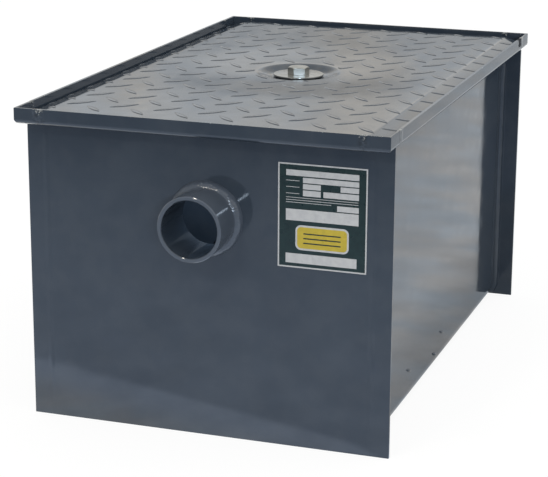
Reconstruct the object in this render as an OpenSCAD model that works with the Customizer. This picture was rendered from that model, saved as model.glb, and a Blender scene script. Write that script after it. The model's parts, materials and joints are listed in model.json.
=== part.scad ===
// Grease trap: a folded and welded steel tank with a plain pipe stub at each end, two lift-out
// baffles and a tread plate lid that one centre bolt pulls down onto a gasket.
// Millimetres, +Z up. The origin is on the floor under the middle of the tank, and the inlet faces -Y.

/* [Tank] */
// Length over the outer faces of the end plates
tank_l = 525; // [440:1:650]
// Width over the outer faces of the side walls
tank_w = 309; // [266:1:376]
// Height of the rim ledge's underside above the floor
ledge_z = 285; // [240:1:360]
// Thickness of the folded tank sheet
sheet_t = 2.7; // [2:0.1:3.4]
// Inside radius of the two long folds between the floor and the side walls
floor_r = 12; // [6:0.5:16]
// Inside radius of the other folds in the tank sheet
fold_r = 2; // [1:0.1:2.6]
// How far each end plate stands out past the side walls
wing_w = 20; // [12:1:28]
// Leg of the weld fillet between a side wall and an end plate
seam_weld = 4; // [2:0.5:6]

/* [Rim] */
// Height from the ledge's underside to the top of the lip
lip_h = 15; // [13:0.5:22]
// Ledge width at the sides, from the wall's outer face to the lip's outer face
side_ledge = 22; // [20:0.5:32]
// Ledge width at the ends, from the end plate's outer face to the lip's outer face
end_ledge = 23; // [18:0.5:32]
// Length of a rim corner's leg along a side of the tank
corner_side_leg = 32; // [29:0.5:44]

/* [Pipe stubs] */
// Outside diameter of the inlet and outlet stubs
stub_od = 60.3; // [48:0.1:73]
// Wall thickness of the stubs
stub_wall = 3.9; // [2.5:0.1:5.5]
// How far a stub stands out from its end plate
stub_out = 42; // [30:0.5:60]
// How far a stub reaches into the tank past its end plate
stub_in = 8; // [4:0.5:20]
// Distance from the ledge's underside down to the stub axes
stub_drop = 78; // [60:0.5:120]
// Leg of the weld bead round a stub's root
stub_weld = 4.5; // [2:0.5:7]
// Bevel on the rims of a stub's open end
stub_bevel = 0.8; // [0.3:0.1:1.2]
// Radial play between a stub and the hole in its end plate
stub_play = 0.1; // [0.05:0.05:0.3]

/* [Lid] */
// Thickness of the lid's plate without its lugs
lid_t = 3.4; // [2.5:0.1:4.5]
// Gap between the lid's long edges and the lip
lid_side_gap = 2.5; // [1:0.1:5]
// Gap between the lid's short edges and the lip
lid_end_gap = 9.5; // [3:0.1:11]
// Width of the lid's bent-down long edges, seen from above
lid_bent_w = 18.6; // [12:0.1:24]
// Gap left between the bent-down edges of the lid and the ledge
lid_tip_gap = 0.6; // [0.4:0.1:1.5]
// Distance between neighbouring lugs of one direction
lug_pitch = 43; // [36:0.5:56]
// Length of a lug
lug_l = 30; // [20:0.5:33]
// Width of a lug
lug_w = 7; // [4:0.25:9]
// Height of a lug
lug_h = 1.4; // [0.8:0.1:2.2]
// Depth of the pressed dimple round the bolt
dimple_depth = 6; // [5:0.25:10]
// Inside radius of the dimple's folds
dimple_r = 4; // [2:0.25:5]
// Steepness of the dimple's flank in degrees
dimple_slope = 30; // [20:1:45]
// Height of the gasket between ledge and lid
gasket_h = 5.3; // [3.5:0.1:7]
// Width of the gasket
gasket_w = 6; // [4:0.25:9]
// Distance from the tank's inner faces to the gasket's inner edge
gasket_set = 2.2; // [1.5:0.1:4]
// How far inside the lid's fold the gasket's slope begins, which keeps it just clear of the bent edges
gasket_relief = 0.3; // [0.1:0.1:1]

/* [Centre bolt] */
// Thread diameter of the bolt
bolt_d = 12.7; // [10:0.1:14]
// Width of the bolt head and the nut across their flats
hex_af = 19.05; // [18:0.05:24]
// Height of the bolt head
head_h = 7; // [6:0.1:10]
// Turn of the bolt head about its axis in degrees
head_turn = 22; // [0:1:59]
// Outside diameter of the flat washer under the head
washer_d = 50.8; // [40:0.1:60]
// Thickness of the flat washer
washer_t = 1.6; // [1.2:0.1:3]
// Outside diameter of the rubber seal under the washer
seal_d = 46; // [34:0.5:50]
// Thickness of the rubber seal
seal_t = 1; // [0.8:0.1:2]
// Radial play of the bolt in the nut, the seal and the washer
bolt_play = 0.15; // [0.1:0.05:0.3]
// Radial play between the washer and the dimple's floor edge
washer_play = 0.5; // [0.3:0.1:2]
// How far the bolt stands out under the nut
bolt_tail = 12; // [4:0.5:20]
// Height of the nut
nut_h = 11; // [8:0.1:13]
// Distance from the ledge's underside down to the top of the anchor bar
bar_drop = 20; // [15:0.5:32]
// Width of the anchor bar
bar_w = 32; // [28:0.5:40]
// Height of the anchor bar's folded flanges
bar_h = 22; // [14:0.5:30]
// Sheet thickness of the anchor bar
bar_t = 3; // [2:0.1:4]

/* [Baffles] */
// Distance from the bolt to the inlet baffle
inlet_baffle_set = 92.5; // [70:0.5:115]
// Distance from the bolt to the outlet baffle
outlet_baffle_set = 41.5; // [38:0.5:115]
// Sheet thickness of the baffles
baffle_t = 2; // [1.5:0.1:3]
// Distance from the ledge's underside down to the top of the baffles
baffle_drop = 20; // [10:0.5:40]
// Width of the stiffening fold along a baffle's top
baffle_fold = 15; // [8:0.5:18]
// Sheet thickness of the baffle guides
guide_t = 2; // [1.5:0.1:3]
// Depth of the baffle guides, measured from the side wall
guide_d = 13; // [9:0.5:20]
// Height of the guides' lower ends above the floor's folds
guide_foot = 2; // [0.5:0.5:15]
// Play between a baffle and each face of its guides
guide_play = 0.5; // [0.3:0.1:1]
// Width of the hand slot in each baffle
hand_w = 96; // [70:1:120]
// Height of the hand slot in each baffle
hand_h = 26; // [20:1:34]
// Distance from a baffle's top down to the middle of its hand slot
hand_drop = 34; // [28:1:50]
// Width of one flow slot in the inlet baffle
flow_w = 16; // [10:0.5:24]
// Height of the flow slots in the inlet baffle
flow_h = 96; // [50:1:120]
// Height of the flow slots' lower ends above the tank's floor
flow_foot = 40; // [30:1:60]
// Number of flow slots in the inlet baffle
flow_n = 5; // [3:1:6]
// Width of the opening under the outlet baffle
under_w = 190; // [120:1:220]
// Height of the opening under the outlet baffle
under_h = 52; // [30:1:80]

/* [Label] */
// Width of the rating label
label_w = 82; // [50:1:90]
// Height of the rating label
label_h = 95; // [60:1:110]
// Thickness of the rating label
label_t = 0.3; // [0.2:0.1:0.6]
// Distance from the end plate's edge to the label
label_inset = 24; // [10:1:30]
// Distance from the ledge's underside down to the label
label_drop = 20; // [12:1:40]

/* [Hidden] */
$fn = 72;

paint = [0.26, 0.29, 0.33];
zinc = [0.72, 0.73, 0.74];
rubber = [0.07, 0.07, 0.08];
label_green = [0.06, 0.16, 0.15];

// Slack that lets one solid cut cleanly through another
cut = 1;

// Tank and rim, measured from the middle of the tank
wall_x = tank_w / 2;
wall_in_x = wall_x - sheet_t;
plate_y = tank_l / 2;
plate_in_y = plate_y - sheet_t;
plate_w = tank_w + 2 * wing_w;
rim_x = wall_x + side_ledge;
rim_y = plate_y + end_ledge;
ledge_top = ledge_z + sheet_t;
bend = sheet_t + fold_r;
floor_bend = sheet_t + floor_r;
seam_x = wall_in_x;
corner_end_leg = rim_x - seam_x;
seam_y = rim_y - corner_side_leg;
stub_z = ledge_z - stub_drop;

// Lid, from its plate's top down
lid_under = ledge_top + gasket_h;
lid_top = lid_under + lid_t;
lid_edge_x = rim_x - sheet_t - lid_side_gap;
lid_end_y = rim_y - sheet_t - lid_end_gap;
gasket_in_x = wall_in_x + gasket_set;
gasket_in_y = plate_in_y + gasket_set;
lid_flat_x = lid_edge_x - lid_bent_w;
lid_edge_drop = gasket_h - lid_tip_gap;
lid_tilt = atan2(lid_edge_drop, lid_bent_w);
lid_slant = lid_bent_w / cos(lid_tilt);
lid_fold_x = lid_flat_x - lid_t * tan(lid_tilt / 2);

// Dimple, from its floor's edge outwards
dimple_rise = (lid_t + 2 * dimple_r) * (1 - cos(dimple_slope));
dimple_flank = (dimple_depth - dimple_rise) / sin(dimple_slope);
dimple_floor = washer_d / 2 + washer_play;
dimple_rim = dimple_floor + (lid_t + 2 * dimple_r) * sin(dimple_slope) + dimple_flank * cos(dimple_slope);

// Lugs: one stands off the lid's middle by this much, and the rest follow at the pitch
lug_x0 = -7;
lug_y0 = -12;
lug_root = 0.4;
lug_side_r = (pow(lug_l, 2) + pow(lug_w, 2)) / (4 * lug_w);
lug_shift = lug_side_r - lug_w / 2;
lug_margin = 0.5;
lug_columns = ceil((lid_flat_x + lid_slant) / lug_pitch) + 1;
lug_rows = ceil(lid_end_y / lug_pitch) + 1;

// Bolt stack
seal_z = lid_top - dimple_depth;
washer_z = seal_z + seal_t;
head_z = washer_z + washer_t;
hole_d = bolt_d + 2 * bolt_play;
bar_z = ledge_z - bar_drop;
nut_z = bar_z - bar_t - nut_h;
bolt_end = nut_z - bolt_tail;
bolt_tip = 1.5;
head_face_inset = 0.5;
head_chamfer = 30;

// Baffles and their guides
baffle_top = ledge_z - baffle_drop;
guide_slot = baffle_t + 2 * guide_play;
guide_fold = 1;
baffle_w = 2 * (wall_in_x - guide_t - guide_play);
guide_z = floor_bend + guide_foot;
guide_top = baffle_top - baffle_fold;

// Part of a ring between two radii, from angle a0 through the angle a
module ring_sector(r_in, r_out, a0, a) {
    reach = 2 * r_out;
    intersection() {
        difference() {
            circle(r_out);
            circle(r_in);
        }
        polygon([[0, 0], reach * [cos(a0), sin(a0)], reach * [cos(a0 + a), sin(a0 + a)]]);
    }
}

// Section of a folded sheet. Each step is a straight run, the turn after it, left turns positive, and
// that turn's inside radius where it isn't r.
module folded(steps, t, r, i = 0) {
    run = steps[i][0];
    turn = steps[i][1];
    fold = len(steps[i]) > 2 ? steps[i][2] : r;
    square([run, t]);
    if (turn > 0)
        translate([run, t + fold]) {
            ring_sector(fold, fold + t, -90, turn);
            rotate(turn) translate([0, -t - fold]) folded(steps, t, r, i + 1);
        }
    if (turn < 0)
        translate([run, -fold]) {
            ring_sector(fold, fold + t, 90 + turn, -turn);
            rotate(turn) translate([0, fold]) folded(steps, t, r, i + 1);
        }
}

// Draws a section in the XZ plane and gives it a length along Y, about the middle
module along_y(length) {
    rotate([90, 0, 0]) linear_extrude(length, center = true) children();
}

// The same in the YZ plane, with a length along X
module along_x(length) {
    rotate([90, 0, 90]) linear_extrude(length, center = true) children();
}

// Slot with round ends, through a baffle that stands across Y
module slot_y(w, h) {
    r = min(w, h) / 2;
    along_y(baffle_fold * 3) {
        square([w - (w > h ? 2 * r : 0), h - (w > h ? 0 : 2 * r)], center = true);
        for (s = [-1, 1])
            translate(w > h ? [s * (w / 2 - r), 0] : [0, s * (h / 2 - r)]) circle(r);
    }
}

// Hexagon with the given width across flats
module hexagon(af) {
    circle(af / sqrt(3), $fn = 6);
}

// Floor, side walls, side ledges and side lips, folded from one sheet. The ledges stop at the rim's
// corners, and the walls run on to the end plates.
module tank_shell() {
    floor_step = [wall_x - floor_bend, 90, floor_r];
    rim_steps = [
        floor_step,
        [ledge_z - floor_bend - fold_r, -90],
        [side_ledge - fold_r - bend, 90],
        [lip_h - bend, 0]
    ];
    wall_steps = [floor_step, [ledge_z - floor_bend, 0]];
    color(paint) {
        along_y(2 * seam_y) for (m = [0, 1]) mirror([m, 0]) folded(rim_steps, sheet_t, fold_r);
        for (s = [-1, 1])
            translate([0, s * (seam_y + plate_in_y) / 2, 0]) along_y(plate_in_y - seam_y)
                for (m = [0, 1]) mirror([m, 0]) folded(wall_steps, sheet_t, fold_r);
        for (mx = [0, 1], my = [0, 1]) mirror([mx, 0, 0]) mirror([0, my, 0]) seam_fillet();
    }
}

// Weld fillet down the outside corner between a side wall and an end plate
module seam_fillet() {
    translate([wall_x, plate_in_y, floor_bend])
        linear_extrude(ledge_z - floor_bend)
            polygon([[0, 0], [0, -seam_weld], [seam_weld, 0]]);
}

// End plate with its wings, ledge and lip, standing at +Y
module end_plate() {
    section = [[ledge_z - fold_r, -90], [end_ledge - fold_r - bend, 90], [lip_h - bend, 0]];
    difference() {
        union() {
            translate([0, plate_y, 0]) along_x(2 * seam_x) rotate(90) folded(section, sheet_t, fold_r);
            for (m = [0, 1]) mirror([m, 0, 0])
                translate([seam_x, plate_in_y, 0]) cube([plate_w / 2 - seam_x, sheet_t, ledge_z]);
        }
        translate([0, plate_y, stub_z])
            rotate([90, 0, 0]) cylinder(d = stub_od + 2 * stub_play, h = 4 * sheet_t, center = true);
    }
}

module inlet_end_plate() {
    color(paint) mirror([0, 1, 0]) end_plate();
}

module outlet_end_plate() {
    color(paint) end_plate();
}

// Block whose lower edge at the origin is rounded
module rounded_foot(w, h, r) {
    translate([r, 0]) square([w - r, h]);
    translate([0, r]) square([w, h - r]);
    translate([r, r]) circle(r);
}

// Solid under the rim's corner, with its lip set in by the given distance on both sides
module corner_block(inset, r) {
    w = corner_end_leg - inset;
    d = corner_side_leg - inset;
    h = lip_h - inset;
    intersection() {
        translate([inset, d / 2 + inset, inset]) along_y(d) rounded_foot(w, h, r);
        translate([w / 2 + inset, inset, inset]) along_x(w) rounded_foot(d, h, r);
    }
}

// Rim corner at -X, -Y: a flat ledge with a lip on its two outer sides
module rim_corner() {
    translate([-rim_x, -rim_y, ledge_z]) difference() {
        corner_block(0, bend);
        corner_block(sheet_t, fold_r);
    }
}

module rim_corner_front_left() {
    color(paint) rim_corner();
}

module rim_corner_front_right() {
    color(paint) mirror([1, 0, 0]) rim_corner();
}

module rim_corner_rear_left() {
    color(paint) mirror([0, 1, 0]) rim_corner();
}

module rim_corner_rear_right() {
    color(paint) mirror([1, 0, 0]) mirror([0, 1, 0]) rim_corner();
}

// Pipe stub along +Z with its weld bead, where zero is the end plate's outer face
module stub() {
    r_out = stub_od / 2;
    r_in = r_out - stub_wall;
    back = -sheet_t - stub_in;
    rotate_extrude() {
        polygon([
            [r_in, back], [r_out, back],
            [r_out, stub_out - stub_bevel], [r_out - stub_bevel, stub_out],
            [r_in + stub_bevel, stub_out], [r_in, stub_out - stub_bevel]
        ]);
        intersection() {
            translate([r_out, 0]) circle(stub_weld);
            translate([r_out - stub_wall / 2, 0]) square(stub_weld + stub_wall);
        }
    }
}

module inlet_stub() {
    color(paint) translate([0, -plate_y, stub_z]) rotate([90, 0, 0]) stub();
}

module outlet_stub() {
    color(paint) translate([0, plate_y, stub_z]) rotate([-90, 0, 0]) stub();
}

// Baffle blank that stands on the tank's floor, with its stiffening fold, its hand slot and its lower
// corners cut off to clear the floor's folds
module baffle(y) {
    section = [[baffle_top - sheet_t - baffle_t - fold_r, -90], [baffle_fold - baffle_t - fold_r, 0]];
    difference() {
        translate([0, y + baffle_t / 2, sheet_t])
            along_x(baffle_w) rotate(90) folded(section, baffle_t, fold_r);
        translate([0, y, baffle_top - hand_drop]) slot_y(hand_w, hand_h);
        for (m = [0, 1]) mirror([m, 0, 0])
            translate([baffle_w / 2, y, sheet_t]) along_y(baffle_fold * 3)
                polygon([[-floor_r - cut, -cut], [cut, -cut], [cut, floor_r + cut]]);
    }
}

// Spreads the inflow over the tank's width through upright slots
module inlet_baffle() {
    gap = baffle_w / (flow_n + 1);
    color(paint) difference() {
        baffle(-inlet_baffle_set);
        for (k = [1 : flow_n])
            translate([k * gap - baffle_w / 2, -inlet_baffle_set, sheet_t + flow_foot + flow_h / 2])
                slot_y(flow_w, flow_h);
    }
}

// Holds the grease back and lets the water out along the floor
module outlet_baffle() {
    color(paint) difference() {
        baffle(outlet_baffle_set);
        translate([-under_w / 2, outlet_baffle_set - baffle_fold, 0])
            cube([under_w, 2 * baffle_fold, sheet_t + under_h]);
    }
}

// Channel on the wall at +X that a baffle slides down into
module guide(y) {
    flange = guide_d - guide_t - guide_fold;
    base = guide_slot - 2 * guide_fold;
    translate([wall_in_x, y - guide_slot / 2 - guide_t, guide_z])
        linear_extrude(guide_top - guide_z)
            translate([-guide_d, 0]) folded([[flange, 90], [base, 90], [flange, 0]], guide_t, guide_fold);
}

module inlet_guide_left() {
    color(paint) mirror([1, 0, 0]) guide(-inlet_baffle_set);
}

module inlet_guide_right() {
    color(paint) guide(-inlet_baffle_set);
}

module outlet_guide_left() {
    color(paint) mirror([1, 0, 0]) guide(outlet_baffle_set);
}

module outlet_guide_right() {
    color(paint) guide(outlet_baffle_set);
}

// Channel across the tank, open downwards, that the bolt pulls against
module anchor_bar() {
    flange = bar_h - bar_t - fold_r;
    web = bar_w - 2 * (bar_t + fold_r);
    color(paint) difference() {
        translate([0, -web / 2 - fold_r, bar_z - bar_h])
            along_x(2 * wall_in_x) rotate(90) folded([[flange, -90], [web, -90], [flange, 0]], bar_t, fold_r);
        translate([0, 0, bar_z - bar_t - cut]) cylinder(d = hole_d, h = bar_t + 2 * cut);
    }
}

// Nut welded under the anchor bar
module anchor_nut() {
    color(paint) translate([0, 0, nut_z]) linear_extrude(nut_h) difference() {
        hexagon(hex_af);
        circle(d = hole_d);
    }
}

// Frame of soft rubber that lies on the ledge, pressed to the slope of the lid's bent edges
module lid_gasket() {
    x = gasket_in_x + gasket_w;
    y = gasket_in_y + gasket_w;
    level = min(lid_fold_x - gasket_relief, x - cut);
    low = gasket_h - (x - level) * tan(lid_tilt);
    color(rubber) translate([0, 0, ledge_top]) difference() {
        along_y(2 * y)
            polygon([[-x, 0], [x, 0], [x, low], [level, gasket_h], [-level, gasket_h], [-x, low]]);
        cube([2 * gasket_in_x, 2 * gasket_in_y, 4 * gasket_h], center = true);
    }
}

// Arc of a section, as points from angle a0 to a1 about a centre
function arc(c, r, a0, a1, n = 6) =
    [for (k = [0 : n]) c + r * [cos(a0 + (a1 - a0) * k / n), sin(a0 + (a1 - a0) * k / n)]];

// Raised lug along X, lens-shaped between two arcs and pointed at both ends
module lug() {
    translate([0, 0, -lug_root]) linear_extrude(lug_root + lug_h) intersection() {
        translate([0, lug_shift]) circle(lug_side_r);
        translate([0, -lug_shift]) circle(lug_side_r);
    }
}

// Lugs over a strip of the flat plate between two places along X, cut off at the strip's edges
module lug_field(x_from, x_to) {
    reach = lug_l / 2;
    y_end = lid_end_y - lug_margin;
    for (s = [0, 1], i = [-lug_columns : lug_columns], j = [-lug_rows : lug_rows]) {
        x = lug_x0 + (i + s / 2) * lug_pitch;
        y = lug_y0 + (j + s / 2) * lug_pitch;
        turn = s == 0 ? 45 : -45;
        whole = x > x_from + reach && x < x_to - reach && abs(y) < y_end - reach;
        partly = x > x_from - reach && x < x_to + reach && abs(y) < y_end + reach;
        clear = norm([x, y]) > dimple_rim + reach;
        if (whole && clear)
            translate([x, y, 0]) rotate(turn) lug();
        else if (partly && norm([x, y]) > dimple_rim - reach / 2)
            difference() {
                intersection() {
                    translate([x, y, 0]) rotate(turn) lug();
                    translate([x_from, -y_end, -cut]) cube([x_to - x_from, 2 * y_end, lug_h + 2 * cut]);
                }
                cylinder(r = dimple_rim + lug_margin, h = 4 * lug_h, center = true);
            }
    }
}

// Tread plate with its long edges bent down and a pressed dimple round the bolt
module lid_plate() {
    near = lid_flat_x + lug_margin;
    far = lid_flat_x + lid_slant - lug_margin;
    half = [
        [0, 0], [lid_flat_x, 0], [lid_edge_x, -lid_edge_drop],
        [lid_edge_x - lid_t * sin(lid_tilt), -lid_edge_drop - lid_t * cos(lid_tilt)],
        [lid_fold_x, -lid_t], [0, -lid_t]
    ];
    upper = [dimple_rim, -dimple_r - lid_t];
    lower = [dimple_floor, dimple_r - dimple_depth];
    dish = concat(
        [[dimple_rim, 0]],
        arc(upper, dimple_r + lid_t, 90, 90 + dimple_slope),
        arc(lower, dimple_r, dimple_slope - 90, -90),
        [[hole_d / 2, -dimple_depth], [hole_d / 2, -dimple_depth - lid_t]],
        arc(lower, dimple_r + lid_t, -90, dimple_slope - 90),
        arc(upper, dimple_r, 90 + dimple_slope, 90)
    );
    color(paint) translate([0, 0, lid_top]) {
        difference() {
            along_y(2 * lid_end_y) for (m = [0, 1]) mirror([m, 0]) polygon(half);
            cylinder(r = dimple_rim, h = 4 * lid_t, center = true);
        }
        rotate_extrude() polygon(dish);
        lug_field(lug_margin - lid_flat_x, lid_flat_x - lug_margin);
        for (s = [-1, 1])
            translate([s * lid_flat_x, 0, 0]) rotate([0, s * lid_tilt, 0]) translate([-s * lid_flat_x, 0, 0])
                lug_field(s > 0 ? near : -far, s > 0 ? far : -near);
    }
}

// Flat ring round the bolt
module bolt_ring(z, d, t) {
    translate([0, 0, z]) linear_extrude(t) difference() {
        circle(d = d);
        circle(d = hole_d);
    }
}

module bolt_seal() {
    color(rubber) bolt_ring(seal_z, seal_d, seal_t);
}

module lid_washer() {
    color(zinc) bolt_ring(washer_z, washer_d, washer_t);
}

// Hexagon head with a turned chamfer, and a plain shank with a pointed tip
module lid_bolt() {
    head_r = hex_af / sqrt(3);
    face_r = hex_af / 2 - head_face_inset;
    shoulder = head_h - (head_r - face_r) * tan(head_chamfer);
    color(zinc) {
        translate([0, 0, head_z]) rotate(head_turn) intersection() {
            linear_extrude(head_h) hexagon(hex_af);
            rotate_extrude()
                polygon([[0, 0], [head_r, 0], [head_r, shoulder], [face_r, head_h], [0, head_h]]);
        }
        translate([0, 0, bolt_end + bolt_tip]) cylinder(d = bolt_d, h = head_z - bolt_end - bolt_tip);
        translate([0, 0, bolt_end]) cylinder(d1 = bolt_d - 2 * bolt_tip, d2 = bolt_d, h = bolt_tip);
    }
}

// Thin sheet stuck on the inlet end plate
module rating_label() {
    color(label_green)
        translate([plate_w / 2 - label_inset - label_w, -plate_y - label_t, ledge_z - label_drop - label_h])
            cube([label_w, label_t, label_h]);
}

tank_shell();
inlet_end_plate();
outlet_end_plate();
rim_corner_front_left();
rim_corner_front_right();
rim_corner_rear_left();
rim_corner_rear_right();
inlet_stub();
outlet_stub();
inlet_baffle();
outlet_baffle();
inlet_guide_left();
inlet_guide_right();
outlet_guide_left();
outlet_guide_right();
anchor_bar();
anchor_nut();
lid_gasket();
lid_plate();
bolt_seal();
lid_washer();
lid_bolt();
rating_label();
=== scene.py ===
import json
import math

import bmesh
import bpy
from mathutils import Matrix, Quaternion, Vector, noise


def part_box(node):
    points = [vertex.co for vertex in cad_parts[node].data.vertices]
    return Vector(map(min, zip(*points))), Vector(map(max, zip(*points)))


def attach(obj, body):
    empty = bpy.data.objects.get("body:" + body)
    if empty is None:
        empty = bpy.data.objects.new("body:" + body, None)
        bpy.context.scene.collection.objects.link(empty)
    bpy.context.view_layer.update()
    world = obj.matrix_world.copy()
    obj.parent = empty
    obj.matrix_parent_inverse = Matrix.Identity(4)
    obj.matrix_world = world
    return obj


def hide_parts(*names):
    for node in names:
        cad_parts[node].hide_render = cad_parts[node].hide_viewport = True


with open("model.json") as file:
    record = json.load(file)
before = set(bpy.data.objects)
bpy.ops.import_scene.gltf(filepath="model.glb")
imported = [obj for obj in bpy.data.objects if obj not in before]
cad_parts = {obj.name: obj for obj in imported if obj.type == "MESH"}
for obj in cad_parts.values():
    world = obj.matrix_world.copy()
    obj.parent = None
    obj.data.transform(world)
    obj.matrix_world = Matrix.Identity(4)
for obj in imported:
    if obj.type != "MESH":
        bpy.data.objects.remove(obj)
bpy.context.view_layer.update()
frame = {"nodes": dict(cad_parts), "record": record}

MM = 0.001

# Sizes that the pieces below share, in metres, read from the frame where it holds them

plate_low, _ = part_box("inlet_end_plate")
_, shell_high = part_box("tank_shell")
_, lid_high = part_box("lid_plate")
stub_low, stub_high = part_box("inlet_stub")
washer_low, washer_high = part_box("lid_washer")
bolt_low, bolt_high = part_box("lid_bolt")
label_low, label_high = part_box("rating_label")
corner_low, corner_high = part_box("rim_corner_front_right")

SHEET_T = 2.7 * MM
RIM_X = shell_high.x
RIM_Y = -plate_low.y
RIM_TOP = shell_high.z
LIP_H = 15 * MM
LEDGE_Z = RIM_TOP - LIP_H
SEAM_X = corner_low.x
SEAM_Y = -corner_high.y
WALL_X = 154.5 * MM
FLOOR_BEND = 14.7 * MM
PLATE_Y = 262.5 * MM
STUB_AXIS_Z = (stub_low.z + stub_high.z) / 2
SAME_POINT = 1e-6


# Meshes

def mesh_object(name, points, faces, material, flat=False):
    """A new object from points and faces, smooth shaded unless flat, with one material."""
    mesh = bpy.data.meshes.new(name)
    mesh.from_pydata([tuple(p) for p in points], [], faces)
    mesh.validate()
    mesh.polygons.foreach_set("use_smooth", [not flat] * len(mesh.polygons))
    mesh.materials.append(material)
    thing = bpy.data.objects.new(name, mesh)
    bpy.context.scene.collection.objects.link(thing)
    return thing


def bmesh_object(name, bm, material):
    """A new smooth-shaded object from a bmesh, which is used up."""
    thing = mesh_object(name, [], [], material)
    bm.to_mesh(thing.data)
    bm.free()
    thing.data.polygons.foreach_set("use_smooth", [True] * len(thing.data.polygons))
    return thing


def grid_faces(rows, columns, first=0, closed=False):
    """Quads between rows of points, each row joined to itself when closed."""
    faces = []
    for i in range(rows - 1):
        for j in range(columns if closed else columns - 1):
            k = (j + 1) % columns
            a = first + i * columns
            faces.append((a + j, a + k, a + columns + k, a + columns + j))
    return faces


def lathe(name, profile, material, turns):
    """A closed outline of radius and height, turned about Z."""
    points = []
    for r, z in profile:
        for k in range(turns):
            a = 2 * math.pi * k / turns
            points.append((r * math.cos(a), r * math.sin(a), z))
    points += points[:turns]
    thing = mesh_object(name, points, grid_faces(len(profile) + 1, turns, closed=True), material)
    merge(thing)
    return thing


def merge(thing):
    """Joins points that coincide and turns all faces outwards."""
    bm = bmesh.new()
    bm.from_mesh(thing.data)
    bmesh.ops.remove_doubles(bm, verts=bm.verts, dist=SAME_POINT)
    bmesh.ops.recalc_face_normals(bm, faces=bm.faces)
    bm.to_mesh(thing.data)
    bm.free()


def crisp(thing, angle):
    """Keeps edges sharper than the angle in degrees from being shaded smooth."""
    thing.data.set_sharp_from_angle(angle=math.radians(angle))


def wear(seed, x, y, z, scale):
    """Seeded smooth noise from -1 to 1, with features about one over the scale in metres."""
    return noise.noise(Vector((x, y, z)) * scale + Vector((seed, 2.3 * seed, 5.1 * seed)))


def arc_points(cx, cz, r, start, end, steps):
    """Points along an arc in the plane of X and Z, angles in degrees."""
    points = []
    for k in range(steps + 1):
        a = math.radians(start + (end - start) * k / steps)
        points.append((cx + r * math.cos(a), cz + r * math.sin(a)))
    return points


# Node trees: a value in a tree that can be added, multiplied and ramped like a number

class Value:
    """One socket of a node tree, with sums that read as sums."""

    def __init__(self, tree, socket):
        self.tree = tree
        self.socket = socket

    def apply(self, operation, *others):
        node = self.tree.nodes.new("ShaderNodeMath")
        node.operation = operation
        for slot, value in zip(node.inputs, (self, *others)):
            feed(self.tree, slot, value)
        return Value(self.tree, node.outputs[0])

    def __add__(self, other):
        return self.apply("ADD", other)

    def __sub__(self, other):
        return self.apply("SUBTRACT", other)

    def __mul__(self, other):
        return self.apply("MULTIPLY", other)

    def size(self):
        return self.apply("ABSOLUTE")

    def most(self, other):
        return self.apply("MAXIMUM", other)

    def ramp(self, start, end, low=0.0, high=1.0):
        """Runs smoothly from low to high while the value runs from start to end."""
        node = self.tree.nodes.new("ShaderNodeMapRange")
        node.interpolation_type = "SMOOTHSTEP"
        for name, value in (
            ("Value", self), ("From Min", start), ("From Max", end), ("To Min", low), ("To Max", high),
        ):
            feed(self.tree, node.inputs[name], value)
        return Value(self.tree, node.outputs["Result"])


def feed(tree, slot, value):
    """Links a value to a socket, or sets the socket to a plain number or colour."""
    if isinstance(value, Value):
        tree.links.new(value.socket, slot)
    elif isinstance(value, tuple) and len(value) == 3 and slot.type == "RGBA":
        slot.default_value = (*value, 1)
    else:
        slot.default_value = value


def add(tree, kind, output=0, inputs=(), **settings):
    """A new node with its settings and inputs, returned as the value of one output."""
    node = tree.nodes.new(kind)
    for name, value in settings.items():
        setattr(node, name, value)
    for name, value in dict(inputs).items():
        feed(tree, node.inputs[name], value)
    return Value(tree, node.outputs[output])


def parts(tree, vector):
    """The three coordinates of a vector."""
    split = tree.nodes.new("ShaderNodeSeparateXYZ")
    feed(tree, split.inputs[0], vector)
    return [Value(tree, split.outputs[k]) for k in range(3)]


def place(tree):
    """The shaded point in the shared frame at rest, and its three coordinates."""
    point = add(tree, "ShaderNodeTexCoord", "Object")
    return point, *parts(tree, point)


def cloud(tree, point, scale, detail=2.0, roughness=0.5, stretch=(1, 1, 1), seed=0.0):
    """Noise from 0 to 1 with features about one over the scale in metres, longer along a small stretch."""
    moved = add(
        tree, "ShaderNodeMapping", 0,
        {"Vector": point, "Location": (seed, seed * 1.7, seed * 2.9), "Scale": stretch},
    )
    return add(
        tree, "ShaderNodeTexNoise", "Fac",
        {"Vector": moved, "Scale": scale, "Detail": detail, "Roughness": roughness},
    )


def mix(tree, amount, first, second):
    """Blends two colours."""
    node = tree.nodes.new("ShaderNodeMix")
    node.data_type = "RGBA"
    feed(tree, node.inputs["Factor"], amount)
    feed(tree, node.inputs[6], first)
    feed(tree, node.inputs[7], second)
    return Value(tree, node.outputs[2])


def bump(tree, height, distance, normal=None):
    """Tilts the normal by a height that is given in shares of the distance in metres."""
    inputs = {"Height": height, "Distance": distance, "Strength": 1.0}
    if normal is not None:
        inputs["Normal"] = normal
    return add(tree, "ShaderNodeBump", 0, inputs)


def blank(name):
    """An empty node material and its tree."""
    material = bpy.data.materials.new(name)
    material.use_nodes = True
    material.node_tree.nodes.clear()
    return material, material.node_tree


def surface(tree, inputs):
    """Ends a material's tree in a principled shader."""
    body = add(tree, "ShaderNodeBsdfPrincipled", 0, inputs)
    out = tree.nodes.new("ShaderNodeOutputMaterial")
    tree.links.new(body.socket, out.inputs["Surface"])


# Materials

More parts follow.
